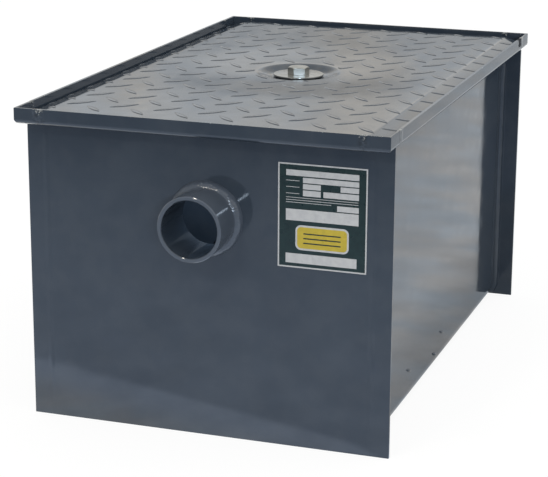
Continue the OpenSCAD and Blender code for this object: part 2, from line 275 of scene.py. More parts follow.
ENAMEL = (0.034, 0.047, 0.066)
ENAMEL_LIGHT = (0.040, 0.054, 0.074)
# Stub's outside: partly a thinner, paler coat, partly painted light
PALE_COAT_AND_LIGHT = (0.088, 0.106, 0.135)
BARE = (0.42, 0.43, 0.42)
# Pale patches: partly dust, partly painted sheen standing in for mottled reflections
DUST_AND_SHEEN = (0.26, 0.26, 0.25)
SCORCH = (0.012, 0.015, 0.019)
# Near black for the open seam: painted shade of its gap
GAP_SHADE = (0.030, 0.034, 0.040)
PAINT_ROUGH = (0.06, 0.11)
PAINT_GLOSS = 0.5
PAINT_IOR = 1.5
SHEET_WAVE = 0.35 * MM
PIPE_WAVE = 0.10 * MM
PEEL = 0.004 * MM
BORE_R = 26.3 * MM
COAT_R = BORE_R + 1 * MM
SEAM_FADE = (7 * MM, 1.5 * MM)
CHIP_FROM = (0.70, 0.73)
OPEN_SEAM_Y = 242 * MM
OPEN_SEAM_FADE = (8 * MM, 5 * MM)
WELD_PRINT_X = 156.5 * MM
INK_ROUGH = (0.25, 0.38)
INK_IOR = 1.48


def enamel(name, wave, dust_and_sheen, marks=None):
    """Glossy slate enamel with sheet waviness, orange peel, pale patches that are partly dust and partly
    painted sheen for mottled reflections, and the marks that a function adds.
    """
    material, tree = blank(name)
    point, *_ = place(tree)
    tone = cloud(tree, point, 14, 3).ramp(0.35, 0.65)
    film = cloud(tree, point, 40, 3, 0.55, (1, 0.3, 1), seed=3.0)
    colour = mix(tree, tone, ENAMEL, ENAMEL_LIGHT)
    rough = cloud(tree, point, 60, 3).ramp(0.35, 0.65, *PAINT_ROUGH)
    look = {
        # Painted sheen: the pale dust patches also stand in for mottled reflections
        "Base Color": mix(tree, film.ramp(0.38, 0.66, 0.0, dust_and_sheen), colour, DUST_AND_SHEEN),
        "Roughness": rough + film.ramp(0.4, 0.7, 0.0, dust_and_sheen * 0.4),
        "Normal": bump(tree, cloud(tree, point, 11, 2.5, 0.4, seed=1.0), wave),
        "Specular IOR Level": PAINT_GLOSS,
        "IOR": PAINT_IOR,
    }
    if marks:
        marks(tree, look)
    look["Normal"] = bump(tree, cloud(tree, point, 420, 2, 0.6), PEEL, look["Normal"])
    surface(tree, look)
    return material


def pipe_coat_and_light(tree, look):
    """A paler coat on a stub's outside, partly a thinner coat and partly painted light that the stub
    catches; the bore keeps the darker enamel as painted shade.
    """
    _, x, _, z = place(tree)
    rise = z - STUB_AXIS_Z
    # Painted light: the stub's outside is paler, while its bore stays dark as painted shade
    paler_and_lit_outside = (x * x + rise * rise).ramp(BORE_R ** 2, COAT_R ** 2)
    look["Base Color"] = mix(tree, paler_and_lit_outside, look["Base Color"], PALE_COAT_AND_LIGHT)


def tank_marks(tree, look):
    """Scorched seams in the rim, chips along them and on the top edge, painted shade in the open seam's gap
    at the rear right, and the walls' welds where they print through the end plates."""
    point, x, y, z = place(tree)
    lip = z.ramp(LEDGE_Z - 2 * MM, LEDGE_Z + 1 * MM)
    at_end = (x.size() - SEAM_X).size().ramp(*SEAM_FADE)
    at_side = (y.size() - SEAM_Y).size().ramp(*SEAM_FADE)
    seam = at_end.most(at_side) * lip
    edge = z.ramp(RIM_TOP - 1.0 * MM, RIM_TOP - 0.15 * MM)
    high = z.ramp(RIM_TOP - 5.5 * MM, RIM_TOP - 0.5 * MM)
    flakes = cloud(tree, point, 330, 3, 0.65, seed=7.0)
    chip = (flakes + seam * high * 0.17 + seam * 0.04 + edge * 0.05).ramp(*CHIP_FROM)
    chip = chip * seam.most(edge)
    scorch = cloud(tree, point, 240, 3, 0.6, seed=5.0).ramp(0.45, 0.60) * seam
    # Painted shade: the open seam's gap at the rear right is painted near black and less glossy
    ragged = flakes.ramp(0.3, 0.7, -2 * MM, 2 * MM)
    along = ((y - OPEN_SEAM_Y).size() + ragged).ramp(*OPEN_SEAM_FADE)
    upper = z.ramp(RIM_TOP - 9 * MM, RIM_TOP - 7.5 * MM)
    open_seam_shade = x.ramp(RIM_X - 5 * MM, RIM_X - 4 * MM) * along * upper
    colour = mix(tree, chip, look["Base Color"], BARE)
    colour = mix(tree, scorch * 0.5, colour, SCORCH)
    look["Base Color"] = mix(tree, open_seam_shade, colour, GAP_SHADE)
    look["Roughness"] = look["Roughness"] + chip * 0.3 + scorch * 0.12 + open_seam_shade * 0.6
    look["Specular IOR Level"] = open_seam_shade * -0.42 + PAINT_GLOSS
    weld_print = (x.size() - WELD_PRINT_X).size().ramp(4 * MM, 0.0) * z.ramp(LEDGE_Z, LEDGE_Z - 12 * MM)
    normal = bump(tree, weld_print, 0.14 * MM, look["Normal"])
    look["Normal"] = bump(tree, flakes * seam, 0.25 * MM, normal)


def zinc_plate(name, light, dull, smooth):
    """Zinc plating: fine turning scratches and patches of duller film."""
    material, tree = blank(name)
    point, *_ = place(tree)
    film = cloud(tree, point, 130, 3, 0.6)
    colour = mix(tree, film.ramp(0.35, 0.65), light, dull)
    scratch = cloud(tree, point, 900, 2, 0.5, (1, 0.12, 1))
    rough = film.ramp(0.3, 0.7, smooth, smooth + 0.09)
    grain = bump(tree, scratch, 0.01 * MM)
    surface(tree, {"Base Color": colour, "Metallic": 1.0, "Roughness": rough, "Normal": grain})
    return material


def rubber():
    """Black closed-cell rubber with a fine skin."""
    material, tree = blank("rubber")
    point, *_ = place(tree)
    skin = cloud(tree, point, 700, 3, 0.6)
    colour = mix(tree, skin.ramp(0.3, 0.7), (0.012, 0.012, 0.013), (0.026, 0.026, 0.027))
    surface(tree, {
        "Base Color": colour, "Roughness": skin.ramp(0.2, 0.8, 0.55, 0.75),
        "Normal": bump(tree, skin, 0.05 * MM),
    })
    return material


def print_ink(name, colour, shade):
    """Printed film: a slightly uneven ink."""
    material, tree = blank(name)
    point, *_ = place(tree)
    ink = mix(tree, cloud(tree, point, 160, 3).ramp(0.3, 0.7), colour, shade)
    rough = cloud(tree, point, 90, 2).ramp(0.3, 0.7, *INK_ROUGH)
    surface(tree, {"Base Color": ink, "Roughness": rough, "IOR": INK_IOR})
    return material


tank_paint = enamel("tank_enamel", SHEET_WAVE, 0.03, tank_marks)
pipe_paint = enamel("pipe_enamel", PIPE_WAVE, 0.05, pipe_coat_and_light)
lid_paint = enamel("lid_enamel", SHEET_WAVE, 0.13)
zinc = zinc_plate("zinc", (0.42, 0.42, 0.395), (0.38, 0.38, 0.355), 0.30)
dull_zinc = zinc_plate("dull_zinc", (0.33, 0.335, 0.325), (0.29, 0.295, 0.285), 0.16)
seal_rubber = rubber()
label_green = print_ink("label_green", (0.005, 0.020, 0.020), (0.008, 0.028, 0.027))
label_white = print_ink("label_white", (0.62, 0.62, 0.62), (0.55, 0.55, 0.56))
label_yellow = print_ink("label_yellow", (0.62, 0.47, 0.05), (0.55, 0.42, 0.045))

SLOT_PAINT = {
    "tank_paint": tank_paint,
    "lid_paint": lid_paint,
    "zinc_steel": zinc,
    "seal_rubber": seal_rubber,
    "label_film": label_green,
}
for part in frame["record"]["subparts"]:
    solid = frame["nodes"][part["node"]]
    solid.data.materials.clear()
    solid.data.materials.append(SLOT_PAINT[part["material_slot"]])
for stub in ("inlet_stub", "outlet_stub"):
    frame["nodes"][stub].data.materials[0] = pipe_paint


def dress(piece, body, slot, *nodes):
    """Rides a piece on its body and hides the solids that it stands for. The slot is not used."""
    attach(piece, body)
    if nodes:
        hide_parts(*nodes)


SHARP_EDGE = math.radians(60)
FLAT_ANGLE = math.radians(0.3)
EDGE_WIDTH = 0.5 * MM
SHEETS = (
    "tank_shell", "inlet_end_plate", "outlet_end_plate", "rim_corner_front_left",
    "rim_corner_front_right", "rim_corner_rear_left", "rim_corner_rear_right",
)


def soften(node, body, slot, width):
    """Puts a copy of a solid with rounded-off edges in the solid's place."""
    solid = frame["nodes"][node]
    bm = bmesh.new()
    bm.from_mesh(solid.data)
    bmesh.ops.remove_doubles(bm, verts=bm.verts, dist=SAME_POINT)
    bmesh.ops.dissolve_limit(bm, angle_limit=FLAT_ANGLE, verts=bm.verts, edges=bm.edges)
    sharp = [e for e in bm.edges if e.is_manifold and e.calc_face_angle() > SHARP_EDGE]
    bmesh.ops.bevel(
        bm, geom=sharp, offset=width, offset_type="OFFSET", segments=2, profile=0.5, affect="EDGES",
        clamp_overlap=True,
    )
    bmesh.ops.triangulate(bm, faces=[f for f in bm.faces if len(f.verts) > 4])
    piece = bmesh_object(node + "_soft", bm, SLOT_PAINT[slot])
    piece.matrix_world = solid.matrix_world
    level = piece.modifiers.new("level_faces", "WEIGHTED_NORMAL")
    level.weight = 100
    dress(piece, body, slot, node)


for sheet in SHEETS:
    soften(sheet, "tank", "tank_paint", EDGE_WIDTH)


# Lid: a tread plate with softly bent long edges, a pressed dimple and rolled lugs

LID_T = 3.4 * MM
FLAT_X = 152.7 * MM
BEND_R = 16 * MM
LID_EDGE_DROP = 4.7 * MM
LID_SAG = 2.6 * MM
REAR_SAG = 0.35
SAG_R = 150 * MM
GRID_STEP = 12 * MM
BEND_STEP = 0.8 * MM
EDGE_STEP = 9 * MM
BOLT_R = 6.35 * MM
HOLE_R = BOLT_R + 0.15 * MM
DIMPLE_DEPTH = 6 * MM
DIMPLE_RIM = 44 * MM
DIMPLE_RINGS = 16
DISH_HALF = 50 * MM
DISH_STEPS = 24
DISH_STEP = 2 * DISH_HALF / DISH_STEPS

# The solid's lugs are LUG_H high; the rolled ones here are lower and rise over their flanks to LUG_CROWN
LUG_H = 1.4 * MM
LUG_CROWN = 0.56 * MM
LUG_FLANK = 1.6 * MM
LUG_L = 30 * MM
LUG_W = 7 * MM
LUG_PITCH = 43 * MM
LUG_X0 = -7 * MM
LUG_Y0 = -12 * MM
LUG_SINK = 0.05 * MM
LUG_ROWS = 16
LUG_STATIONS = (-1, -0.93, -0.84, -0.68, -0.4, 0, 0.4, 0.68, 0.84, 0.93, 1)
LUG_FRONT_GAP = 11 * MM
LUG_REAR_GAP = 5 * MM
LUG_DIMPLE_GAP = 1 * MM

lid_top = lid_high.z - LUG_H
lid_edge_x = lid_high.x
lid_end_y = lid_high.y
lid_tilt = math.atan2(LID_EDGE_DROP, lid_edge_x - FLAT_X)
bend_start = FLAT_X - BEND_R * math.tan(lid_tilt / 2)
bend_end = bend_start + BEND_R * lid_tilt
sheet_end = bend_end + (lid_edge_x - bend_start - BEND_R * math.sin(lid_tilt)) / math.cos(lid_tilt)
lug_ends = {-1: lid_end_y - LUG_FRONT_GAP, 1: lid_end_y - LUG_REAR_GAP}
dimple_floor = washer_high.x + 0.5 * MM


def lid_point(s, y, up):
    """A point of the lid, given along and across the bent sheet and above its top face."""
    side = math.copysign(1, s)
    lean = min(max((abs(s) - bend_start) / BEND_R, 0), lid_tilt)
    straight = max(abs(s) - bend_end, 0)
    x = min(abs(s), bend_start) + BEND_R * math.sin(lean) + straight * math.cos(lid_tilt)
    z = -BEND_R * (1 - math.cos(lean)) - straight * math.sin(lid_tilt)
    z -= lid_sag(side * x, y)
    return Vector((side * (x + up * math.sin(lean)), y, lid_top + z + up * math.cos(lean)))


def lid_sag(x, y):
    """How far the bolt's pull draws the plate down, most at the dimple's rim and on the inlet's side."""
    radius = max(math.hypot(x, y), DIMPLE_RIM)
    share = min(max((SAG_R - radius) / (SAG_R - DIMPLE_RIM), 0), 1)
    rearward = (1 + y / radius) / 2
    return LID_SAG * share * share * (3 - 2 * share) * (1 + (REAR_SAG - 1) * rearward)


def dish_rings():
    """Radii of the dimple from its rim to the bolt hole, each with its share of the depth."""
    rings = []
    for k in range(DIMPLE_RINGS + 1):
        f = k / DIMPLE_RINGS
        rings.append((DIMPLE_RIM + (dimple_floor - DIMPLE_RIM) * f, (1 - math.cos(math.pi * f)) / 2))
    return [*rings, ((dimple_floor + HOLE_R) / 2, 1), (HOLE_R, 1)]


def spread(start, end, step):
    """Even stations from start to end, at most one step apart."""
    count = max(1, math.ceil((end - start) / step - SAME_POINT))
    return [start + (end - start) * k / count for k in range(count + 1)]


def lid_sheet(bm):
    """The bent plate with its dimple, top and underside joined round the edge and the bolt hole."""
    half_x = [
        *spread(0, DISH_HALF, DISH_STEP),
        *spread(DISH_HALF, bend_start, GRID_STEP)[1:],
        *spread(bend_start, bend_end, BEND_STEP)[1:],
        *spread(bend_end, sheet_end, EDGE_STEP)[1:],
    ]
    half_y = [
        *spread(0, DISH_HALF, DISH_STEP),
        *spread(DISH_HALF, lid_end_y, GRID_STEP)[1:],
    ]
    xs = [-x for x in reversed(half_x[1:])] + half_x
    ys = [-y for y in reversed(half_y[1:])] + half_y
    for up in (0, -LID_T):
        made = {}

        def vertex(i, j):
            if (i, j) not in made:
                made[i, j] = bm.verts.new(lid_point(xs[i], ys[j], up))
            return made[i, j]

        for i in range(len(xs) - 1):
            for j in range(len(ys) - 1):
                middle = max(abs(xs[i] + xs[i + 1]), abs(ys[j] + ys[j + 1])) / 2
                if middle > DISH_HALF:
                    bm.faces.new([vertex(i, j), vertex(i + 1, j), vertex(i + 1, j + 1), vertex(i, j + 1)])
        lid_dish(bm, up)
    bmesh.ops.remove_doubles(bm, verts=bm.verts, dist=SAME_POINT)
    rims = [e for e in bm.edges if e.is_boundary]
    bmesh.ops.bridge_loops(bm, edges=[e for e in rims if in_hole(e)])
    bmesh.ops.bridge_loops(bm, edges=[e for e in rims if not in_hole(e)])


def in_hole(edge):
    """True for an edge on the bolt hole."""
    return edge.verts[0].co.xy.length < 2 * HOLE_R


def lid_dish(bm, up):
    """One face of the dimple, from a square in the plate's grid to the bolt hole."""
    count = 4 * DISH_STEPS
    rings = []
    square = []
    for k in range(count):
        side, along = divmod(k, DISH_STEPS)
        corner = Vector((DISH_HALF, -DISH_HALF + DISH_STEP * along))
        corner.rotate(Matrix.Rotation(side * math.pi / 2, 2))
        square.append(lid_point(corner.x, corner.y, up))
    rings.append(square)
    for r, depth in dish_rings():
        ring = []
        for k in range(count):
            a = 2 * math.pi * k / count - math.pi / 4
            x, y = math.cos(a), math.sin(a)
            sag = lid_sag(DIMPLE_RIM * x, DIMPLE_RIM * y)
            ring.append(Vector((r * x, r * y, lid_top + up - sag - (DIMPLE_DEPTH - sag) * depth)))
        rings.append(ring)
    rows = [[bm.verts.new(p) for p in ring] for ring in rings]
    for outer, inner in zip(rows, rows[1:]):
        for k in range(count):
            n = (k + 1) % count
            bm.faces.new([outer[k], outer[n], inner[n], inner[k]])


def lug_shell(cx, cy, turn):
    """One lens-shaped lug with a level top and rolled flanks, in the coordinates of the unbent sheet."""
    bm = bmesh.new()
    side_r = (LUG_L ** 2 + LUG_W ** 2) / (4 * LUG_W)
    rows = []
    for i in range(LUG_ROWS + 1):
        along = LUG_L / 2 * math.sin(math.pi * (i / LUG_ROWS - 0.5))
        half = max(math.sqrt(side_r ** 2 - along ** 2) - side_r + LUG_W / 2, 0)
        row = []
        for t in LUG_STATIONS:
            climb = min(half * (1 - abs(t)) / LUG_FLANK, 1)
            p = Vector((along, half * t, LUG_CROWN * (1 - (1 - climb) ** 2) - LUG_SINK))
            p.rotate(Matrix.Rotation(turn, 3, "Z"))
            row.append(bm.verts.new(p + Vector((cx, cy, 0))))
        rows.append(row)
    for a, b in zip(rows, rows[1:]):
        for j in range(len(LUG_STATIONS) - 1):
            bm.faces.new([a[j], b[j], b[j + 1], a[j + 1]])
    bmesh.ops.remove_doubles(bm, verts=bm.verts, dist=SAME_POINT)
    bmesh.ops.dissolve_degenerate(bm, edges=bm.edges, dist=SAME_POINT)
    return bm


def cut_lug(bm, point, outward):
    """Cuts a lug off at a plane and closes the cut."""
    cut = bmesh.ops.bisect_plane(
        bm, geom=[*bm.verts, *bm.edges, *bm.faces], plane_co=point, plane_no=outward, clear_outer=True
    )
    edge = [v for v in cut["geom_cut"] if isinstance(v, bmesh.types.BMVert)]
    across = Vector((-outward.y, outward.x, 0))
    edge.sort(key=lambda v: v.co.dot(across))
    if len(edge) > 2:
        bm.faces.new(edge)


def lid_lugs(bm):
    """The rolled lugs in two crossed rows, cut at the sheet's edges and left out of the dimple. At the
    front those with their middle past the cut are left out too."""
    reach = LUG_L / 2
    columns = math.ceil(sheet_end / LUG_PITCH) + 1
    rows = math.ceil(lid_end_y / LUG_PITCH) + 1
    for s in (0, 1):
        turn = math.radians(45 - 90 * s)
        for i in range(-columns, columns + 1):
            for j in range(-rows, rows + 1):
                cx = LUG_X0 + (i + s / 2) * LUG_PITCH
                cy = LUG_Y0 + (j + s / 2) * LUG_PITCH
                from_dish = math.hypot(cx, cy)
                inside = abs(cx) <= sheet_end + reach and -lug_ends[-1] < cy < lug_ends[1] + reach
                if not inside or from_dish < DIMPLE_RIM - reach / 2:
                    continue
                lug = lug_shell(cx, cy, turn)
                for side in (-1, 1):
                    cut_lug(lug, Vector((side * sheet_end, 0, 0)), Vector((side, 0, 0)))
                    cut_lug(lug, Vector((0, side * lug_ends[side], 0)), Vector((0, side, 0)))
                if from_dish < DIMPLE_RIM + reach:
                    inward = Vector((-cx, -cy, 0)) / from_dish
                    cut_lug(lug, -inward * (DIMPLE_RIM + LUG_DIMPLE_GAP), inward)
                for v in lug.verts:
                    v.co = lid_point(v.co.x, v.co.y, v.co.z)
                add_shell(bm, lug)


def add_shell(bm, shell):
    """Copies one bmesh into another."""
    copies = {v: bm.verts.new(v.co) for v in shell.verts}
    for face in shell.faces:
        bm.faces.new([copies[v] for v in face.verts])
    shell.free()


def make_lid():
    """The sheet and its lugs in one piece."""
    bm = bmesh.new()
    lid_sheet(bm)
    lid_lugs(bm)
    bmesh.ops.recalc_face_normals(bm, faces=bm.faces)
    lid = bmesh_object("lid_tread", bm, lid_paint)
    crisp(lid, 40)
    dress(lid, "lid", "lid_paint", "lid_plate")


make_lid()


# Welds: rippled beads round the stubs and down the tank's corners, and scars on the rim

STUB_LEGS = (5.5 * MM, 7 * MM)
STUB_BULGE = 1.4 * MM
STUB_PITCH = 2.6 * MM
STUB_STEPS = 480
STUB_COLLAR = 4.5 * MM
STUB_R = (stub_high.x - stub_low.x) / 2 - STUB_COLLAR
SEAM_LEGS = (4.5 * MM, 4.5 * MM)
SEAM_BULGE = 1.1 * MM
SEAM_PITCH = 4 * MM
SEAM_STEPS = 320
SEAM_GAP = 0.2 * MM
FOLD_STEPS = 40
FOLD_ANGLE = math.radians(80)
FOLD_ROOM = 1.4
FOLD_LEG = 0.4 * MM
BEAD_ACROSS = 11
BEAD_SWELL = 0.10
SWELL_SCALE = 60
BEAD_RIPPLE = 0.3
BEAD_LUMP = 0.35
LUMP_SCALE = 170
WELD_SINK = 0.3 * MM
WELD_LOWEST = 0.1 * MM
SCAR_HALF = 7 * MM
SCAR_RISE = 0.9 * MM
SCAR_SINK = 0.1 * MM
SCAR_LOW = LEDGE_Z + 4 * MM
SCAR_HIGH = RIM_TOP - 0.1 * MM
SCAR_ROWS = 29
SCAR_COLUMNS = 21
PLATE_IN_Y = PLATE_Y - SHEET_T


def weld_bead(name, stations, pitch, bulge, seed, paint):
    """A bead laid in a corner in overlapping ripples. Each station is a point of the corner, the bead's
    legs along its two faces and the length of seam up to there."""
    points = []
    for corner, first, second, run in stations:
        swell = 1 + BEAD_SWELL * wear(seed, *corner, SWELL_SCALE)
        outward = (first.normalized() / first.length + second.normalized() / second.length).normalized()
        for j in range(BEAD_ACROSS):
            t = j / (BEAD_ACROSS - 1)
            hump = math.sin(math.pi * t)
            ripple = BEAD_RIPPLE * abs(math.sin(math.pi * (run / pitch + 0.5 * hump))) * t
            lump = BEAD_LUMP * wear(seed + j, *corner, LUMP_SCALE)
            rise = bulge * hump * (1 + ripple + lump) - WELD_SINK
            spot = corner + (first * (1 - t) + second * t) * swell + outward * rise
            spot.z = max(spot.z, WELD_LOWEST)
            points.append(spot)
    bead = mesh_object(name, points, grid_faces(len(stations), BEAD_ACROSS), paint)
    merge(bead)
    dress(bead, "tank", "tank_paint")


def stub_weld(name, face_y, outward, seed):
    """The bead round a stub's root."""
    on_plate, on_stub = STUB_LEGS
    stations = []
    for k in range(STUB_STEPS + 1):
        a = 2 * math.pi * (k % STUB_STEPS) / STUB_STEPS
        away = Vector((math.cos(a), 0, math.sin(a)))
        corner = Vector((0, face_y, STUB_AXIS_Z)) + away * STUB_R
        stations.append((corner, away * on_plate, Vector((0, outward * on_stub, 0)), STUB_R * a))
    weld_bead(name, stations, STUB_PITCH, STUB_BULGE, seed, pipe_paint)


def seam_weld(name, side, end, seed):
    """The bead down a tank corner and round the floor's fold, thinning out where it meets the floor."""
    stations = []
    on_plate, on_wall = SEAM_LEGS
    inward = Vector((0, -end * on_wall, 0))
    top = LEDGE_Z - SEAM_GAP
    for k in range(SEAM_STEPS):
        z = top + (FLOOR_BEND - top) * k / SEAM_STEPS
        corner = Vector((side * WALL_X, end * PLATE_IN_Y, z))
        stations.append((corner, Vector((side * on_plate, 0, 0)), inward, top - z))
    for k in range(FOLD_STEPS):
        a = FOLD_ANGLE * k / (FOLD_STEPS - 1)
        away = Vector((side * math.cos(a), 0, -math.sin(a)))
        corner = Vector((side * (WALL_X - FLOOR_BEND), end * PLATE_IN_Y, FLOOR_BEND)) + away * FLOOR_BEND
        room = (FLOOR_BEND - SEAM_GAP) / max(math.sin(a), 0.01) - FLOOR_BEND
        leg = max(min(on_plate, room / FOLD_ROOM), FOLD_LEG)
        stations.append((corner, away * leg, inward * (leg / on_plate), top - FLOOR_BEND + a * FLOOR_BEND))
    weld_bead(name, stations, SEAM_PITCH, SEAM_BULGE, seed, tank_paint)


def rim_scar(name, side, end, seed):
    """A lumpy ground-down weld across the lip at one of the seams in an end of the rim."""
    points = []
    for i in range(SCAR_ROWS):
        z = SCAR_LOW + (SCAR_HIGH - SCAR_LOW) * i / (SCAR_ROWS - 1)
        for j in range(SCAR_COLUMNS):
            s = 2 * j / (SCAR_COLUMNS - 1) - 1
            x = side * SEAM_X + s * SCAR_HALF
            swell = 0.45 + 0.5 * wear(seed, x, 0, z, 260) + 0.25 * wear(seed + 3, x, 0, z, 700)
            out = SCAR_RISE * max(swell, 0) * (1 - s * s) - SCAR_SINK
            points.append((x, end * (RIM_Y + out), z))
    scar = mesh_object(name, points, grid_faces(SCAR_ROWS, SCAR_COLUMNS), tank_paint)
    merge(scar)
    dress(scar, "tank", "tank_paint")


stub_weld("inlet_weld", -PLATE_Y, -1, 1.0)
stub_weld("outlet_weld", PLATE_Y, 1, 2.0)
for end, end_name in ((-1, "front"), (1, "rear")):
    for side, side_name in ((-1, "left"), (1, "right")):
        seam_weld("seam_" + end_name + "_" + side_name, side, end, 3.0 + end + 2 * side)
        rim_scar("scar_" + end_name + "_" + side_name, side, end, 8.0 + end + 2 * side)


# Drops of enamel that dried low on the right wall

# Place along and above the floor, half length and half height of each drop, in millimetres
DROPS = ((8.1, 32.2, 6.6, 1.5), (-20.1, 17.4, 6.3, 2.0), (-121.3, 34.0, 7.2, 1.7))
DROP_SLANT = 0.36
DROP_RISE = 1.9 * MM
DROP_SINK = 0.05 * MM
DROP_RINGS = 7
DROP_TURNS = 28


def make_drops():
    """Half ellipsoids that lean down to the rear, all in one piece."""
    points, faces = [], []
    for along, up, half_l, half_h in DROPS:
        first = len(points)
        for i in range(DROP_RINGS):
            f = math.pi / 2 * i / (DROP_RINGS - 1)
            for k in range(DROP_TURNS):
                a = 2 * math.pi * k / DROP_TURNS
                out = half_l * math.sin(f) * math.cos(a)
                points.append((
                    WALL_X + DROP_RISE * math.cos(f) - DROP_SINK,
                    (along + out) * MM,
                    (up + half_h * math.sin(f) * math.sin(a) - DROP_SLANT * out) * MM,
                ))
        faces += grid_faces(DROP_RINGS, DROP_TURNS, first, closed=True)
    drops = mesh_object("wall_drops", points, faces, tank_paint)
    merge(drops)
    dress(drops, "tank", "tank_paint")


make_drops()


# Centre bolt: a hexagon head with a turned chamfer, a rolled thread and a punched washer

HEX_HALF = 9.525 * MM
HEAD_TURN = math.radians(22)
HEAD_STEPS = 96
HEAD_FOOT = 0.2 * MM
FACE_R = HEX_HALF - 0.5 * MM
FACE_DISH = 0.08 * MM
HEAD_CHAMFER = math.tan(math.radians(30))
SHANK_R = BOLT_R - 0.03 * MM
SHANK_STEPS = 40
SHANK_IN_HEAD = 0.5 * MM
NECK_RISE = 0.5 * MM
TIP_CHAMFER = 1.5 * MM
THREAD_PITCH = 1.954 * MM
THREAD_DEPTH = 1.0 * MM
THREAD_STEPS = 8
THREAD_TOP = washer_high.z - 6 * MM
head_low = washer_high.z
head_top = bolt_high.z


def ring_of(bm, radius, z, turns, turn=0.0):
    """Points round the bolt's axis, where the radius and the height may depend on the angle."""
    ring = []
    for k in range(turns):
        a = 2 * math.pi * k / turns
        r = radius(a) if callable(radius) else radius
        h = z(a) if callable(z) else z
        ring.append(bm.verts.new((r * math.cos(a + turn), r * math.sin(a + turn), h)))
    return ring


def close_rings(bm, rings):
    """Faces between rings, and a cap over the first and the last."""
    for lower, upper in zip(rings, rings[1:]):
        for k in range(len(lower)):
            n = (k + 1) % len(lower)
            bm.faces.new([lower[k], lower[n], upper[n], upper[k]])
    bm.faces.new(rings[0])
    bm.faces.new(rings[-1])


def hex_radius(a):
    """Radius of the hexagon at an angle from one of its corners."""
    return HEX_HALF / math.cos(a % (math.pi / 3) - math.pi / 6)


def head_edge(a):
    """Height where the chamfer meets a side of the head."""
    return head_top - (hex_radius(a) - FACE_R) * HEAD_CHAMFER


def bolt_head(bm):
    """The hexagon with a small foot, a turned chamfer and a slightly dished face."""
    outline = (
        (lambda a: hex_radius(a) - HEAD_FOOT, head_low),
        (hex_radius, head_low + HEAD_FOOT),
        (hex_radius, head_edge),
        (lambda a: (hex_radius(a) + FACE_R) / 2, lambda a: (head_edge(a) + head_top) / 2),
        (FACE_R, head_top),
        (FACE_R * 0.6, head_top - FACE_DISH),
    )
    close_rings(bm, [ring_of(bm, radius, z, HEAD_STEPS, HEAD_TURN) for radius, z in outline])


def bolt_shank(bm):
    """A plain neck and a thread that runs out in a pointed tip."""
    count = round((THREAD_TOP - bolt_low.z) / (THREAD_PITCH / THREAD_STEPS))
    rings = []
    for i in range(count + 1):
        z = bolt_low.z + (THREAD_TOP - bolt_low.z) * i / count
        tip = BOLT_R - TIP_CHAMFER + (z - bolt_low.z)
        fade = min((THREAD_TOP - z) / (2 * THREAD_PITCH), 1)

        def crest(a, z=z, tip=tip, fade=fade):
            wave = abs(2 * ((z / THREAD_PITCH - a / (2 * math.pi)) % 1) - 1)
            groove = THREAD_DEPTH * min(max(1.15 * wave - 0.1, 0), 1) * fade
            return min(SHANK_R - groove, tip)

        rings.append(ring_of(bm, crest, z, SHANK_STEPS))
    for z in (THREAD_TOP + NECK_RISE, head_low + SHANK_IN_HEAD):
        rings.append(ring_of(bm, SHANK_R, z, SHANK_STEPS))
    close_rings(bm, rings)


def make_bolt():
    """Head and shank in one piece."""
    bm = bmesh.new()
    bolt_head(bm)
    bolt_shank(bm)
    bmesh.ops.recalc_face_normals(bm, faces=bm.faces)
    bolt = bmesh_object("centre_bolt", bm, zinc)
    crisp(bolt, 22)
    dress(bolt, "bolt", "zinc_steel", "lid_bolt")


def make_washer():
    """A punched ring: a rolled upper edge, and a sharper one below."""
    low, high = washer_low.z, washer_high.z
    outer, inner = washer_high.x, HOLE_R
    outline = [
        (inner + 0.3 * MM, low), (outer - 0.3 * MM, low), (outer - 0.08 * MM, low + 0.1 * MM),
        (outer, low + 0.35 * MM), (outer, high - 0.55 * MM), (outer - 0.12 * MM, high - 0.2 * MM),
        (outer - 0.45 * MM, high - 0.04 * MM), (outer - 0.9 * MM, high),
        (inner + 0.5 * MM, high), (inner, high - 0.3 * MM), (inner, low + 0.3 * MM),
    ]
    washer = lathe("flat_washer", outline, dull_zinc, 128)
    crisp(washer, 30)
    dress(washer, "washer", "zinc_steel", "lid_washer")


make_bolt()
make_washer()


# Label: blank fields, plain rules and a plain plaque printed on the film

PRINT_T = 0.05 * MM

# Left, upper, right and lower edge of each print, in shares of the label from its upper left corner
LABEL_FIELDS = (
    (0.09, 0.062, 0.905, 0.118), (0.28, 0.130, 0.905, 0.180),
    (0.28, 0.190, 0.48, 0.240), (0.70, 0.190, 0.905, 0.240),
    (0.28, 0.250, 0.48, 0.305), (0.51, 0.250, 0.905, 0.305),
    (0.665, 0.372, 0.905, 0.425), (0.09, 0.435, 0.905, 0.545),
    (0.09, 0.862, 0.89, 0.955),
)
LABEL_RULES = (
    (0.09, 0.322, 0.90, 0.327), (0.09, 0.345, 0.90, 0.350), (0.09, 0.368, 0.60, 0.373),
    (0.09, 0.162, 0.24, 0.167), (0.09, 0.222, 0.24, 0.227), (0.09, 0.284, 0.24, 0.289),
)
LABEL_BORDER = 1.3 * MM
PRINT_CORNER_R = 0.15 * MM
ROUND_STEPS = 6
PLAQUE = (0.20, 0.585, 0.80, 0.825)
PLAQUE_R = 5 * MM
FACE_INSET_X = 0.02
FACE_INSET_Z = 0.018
FACE_CORNER_R = 3.6 * MM
BAR_STARTS = (0.31, 0.50, 0.69)
BAR_INSET = 0.09
BAR_H = 0.012
label_width = label_high.x - label_low.x
label_height = label_high.z - label_low.z


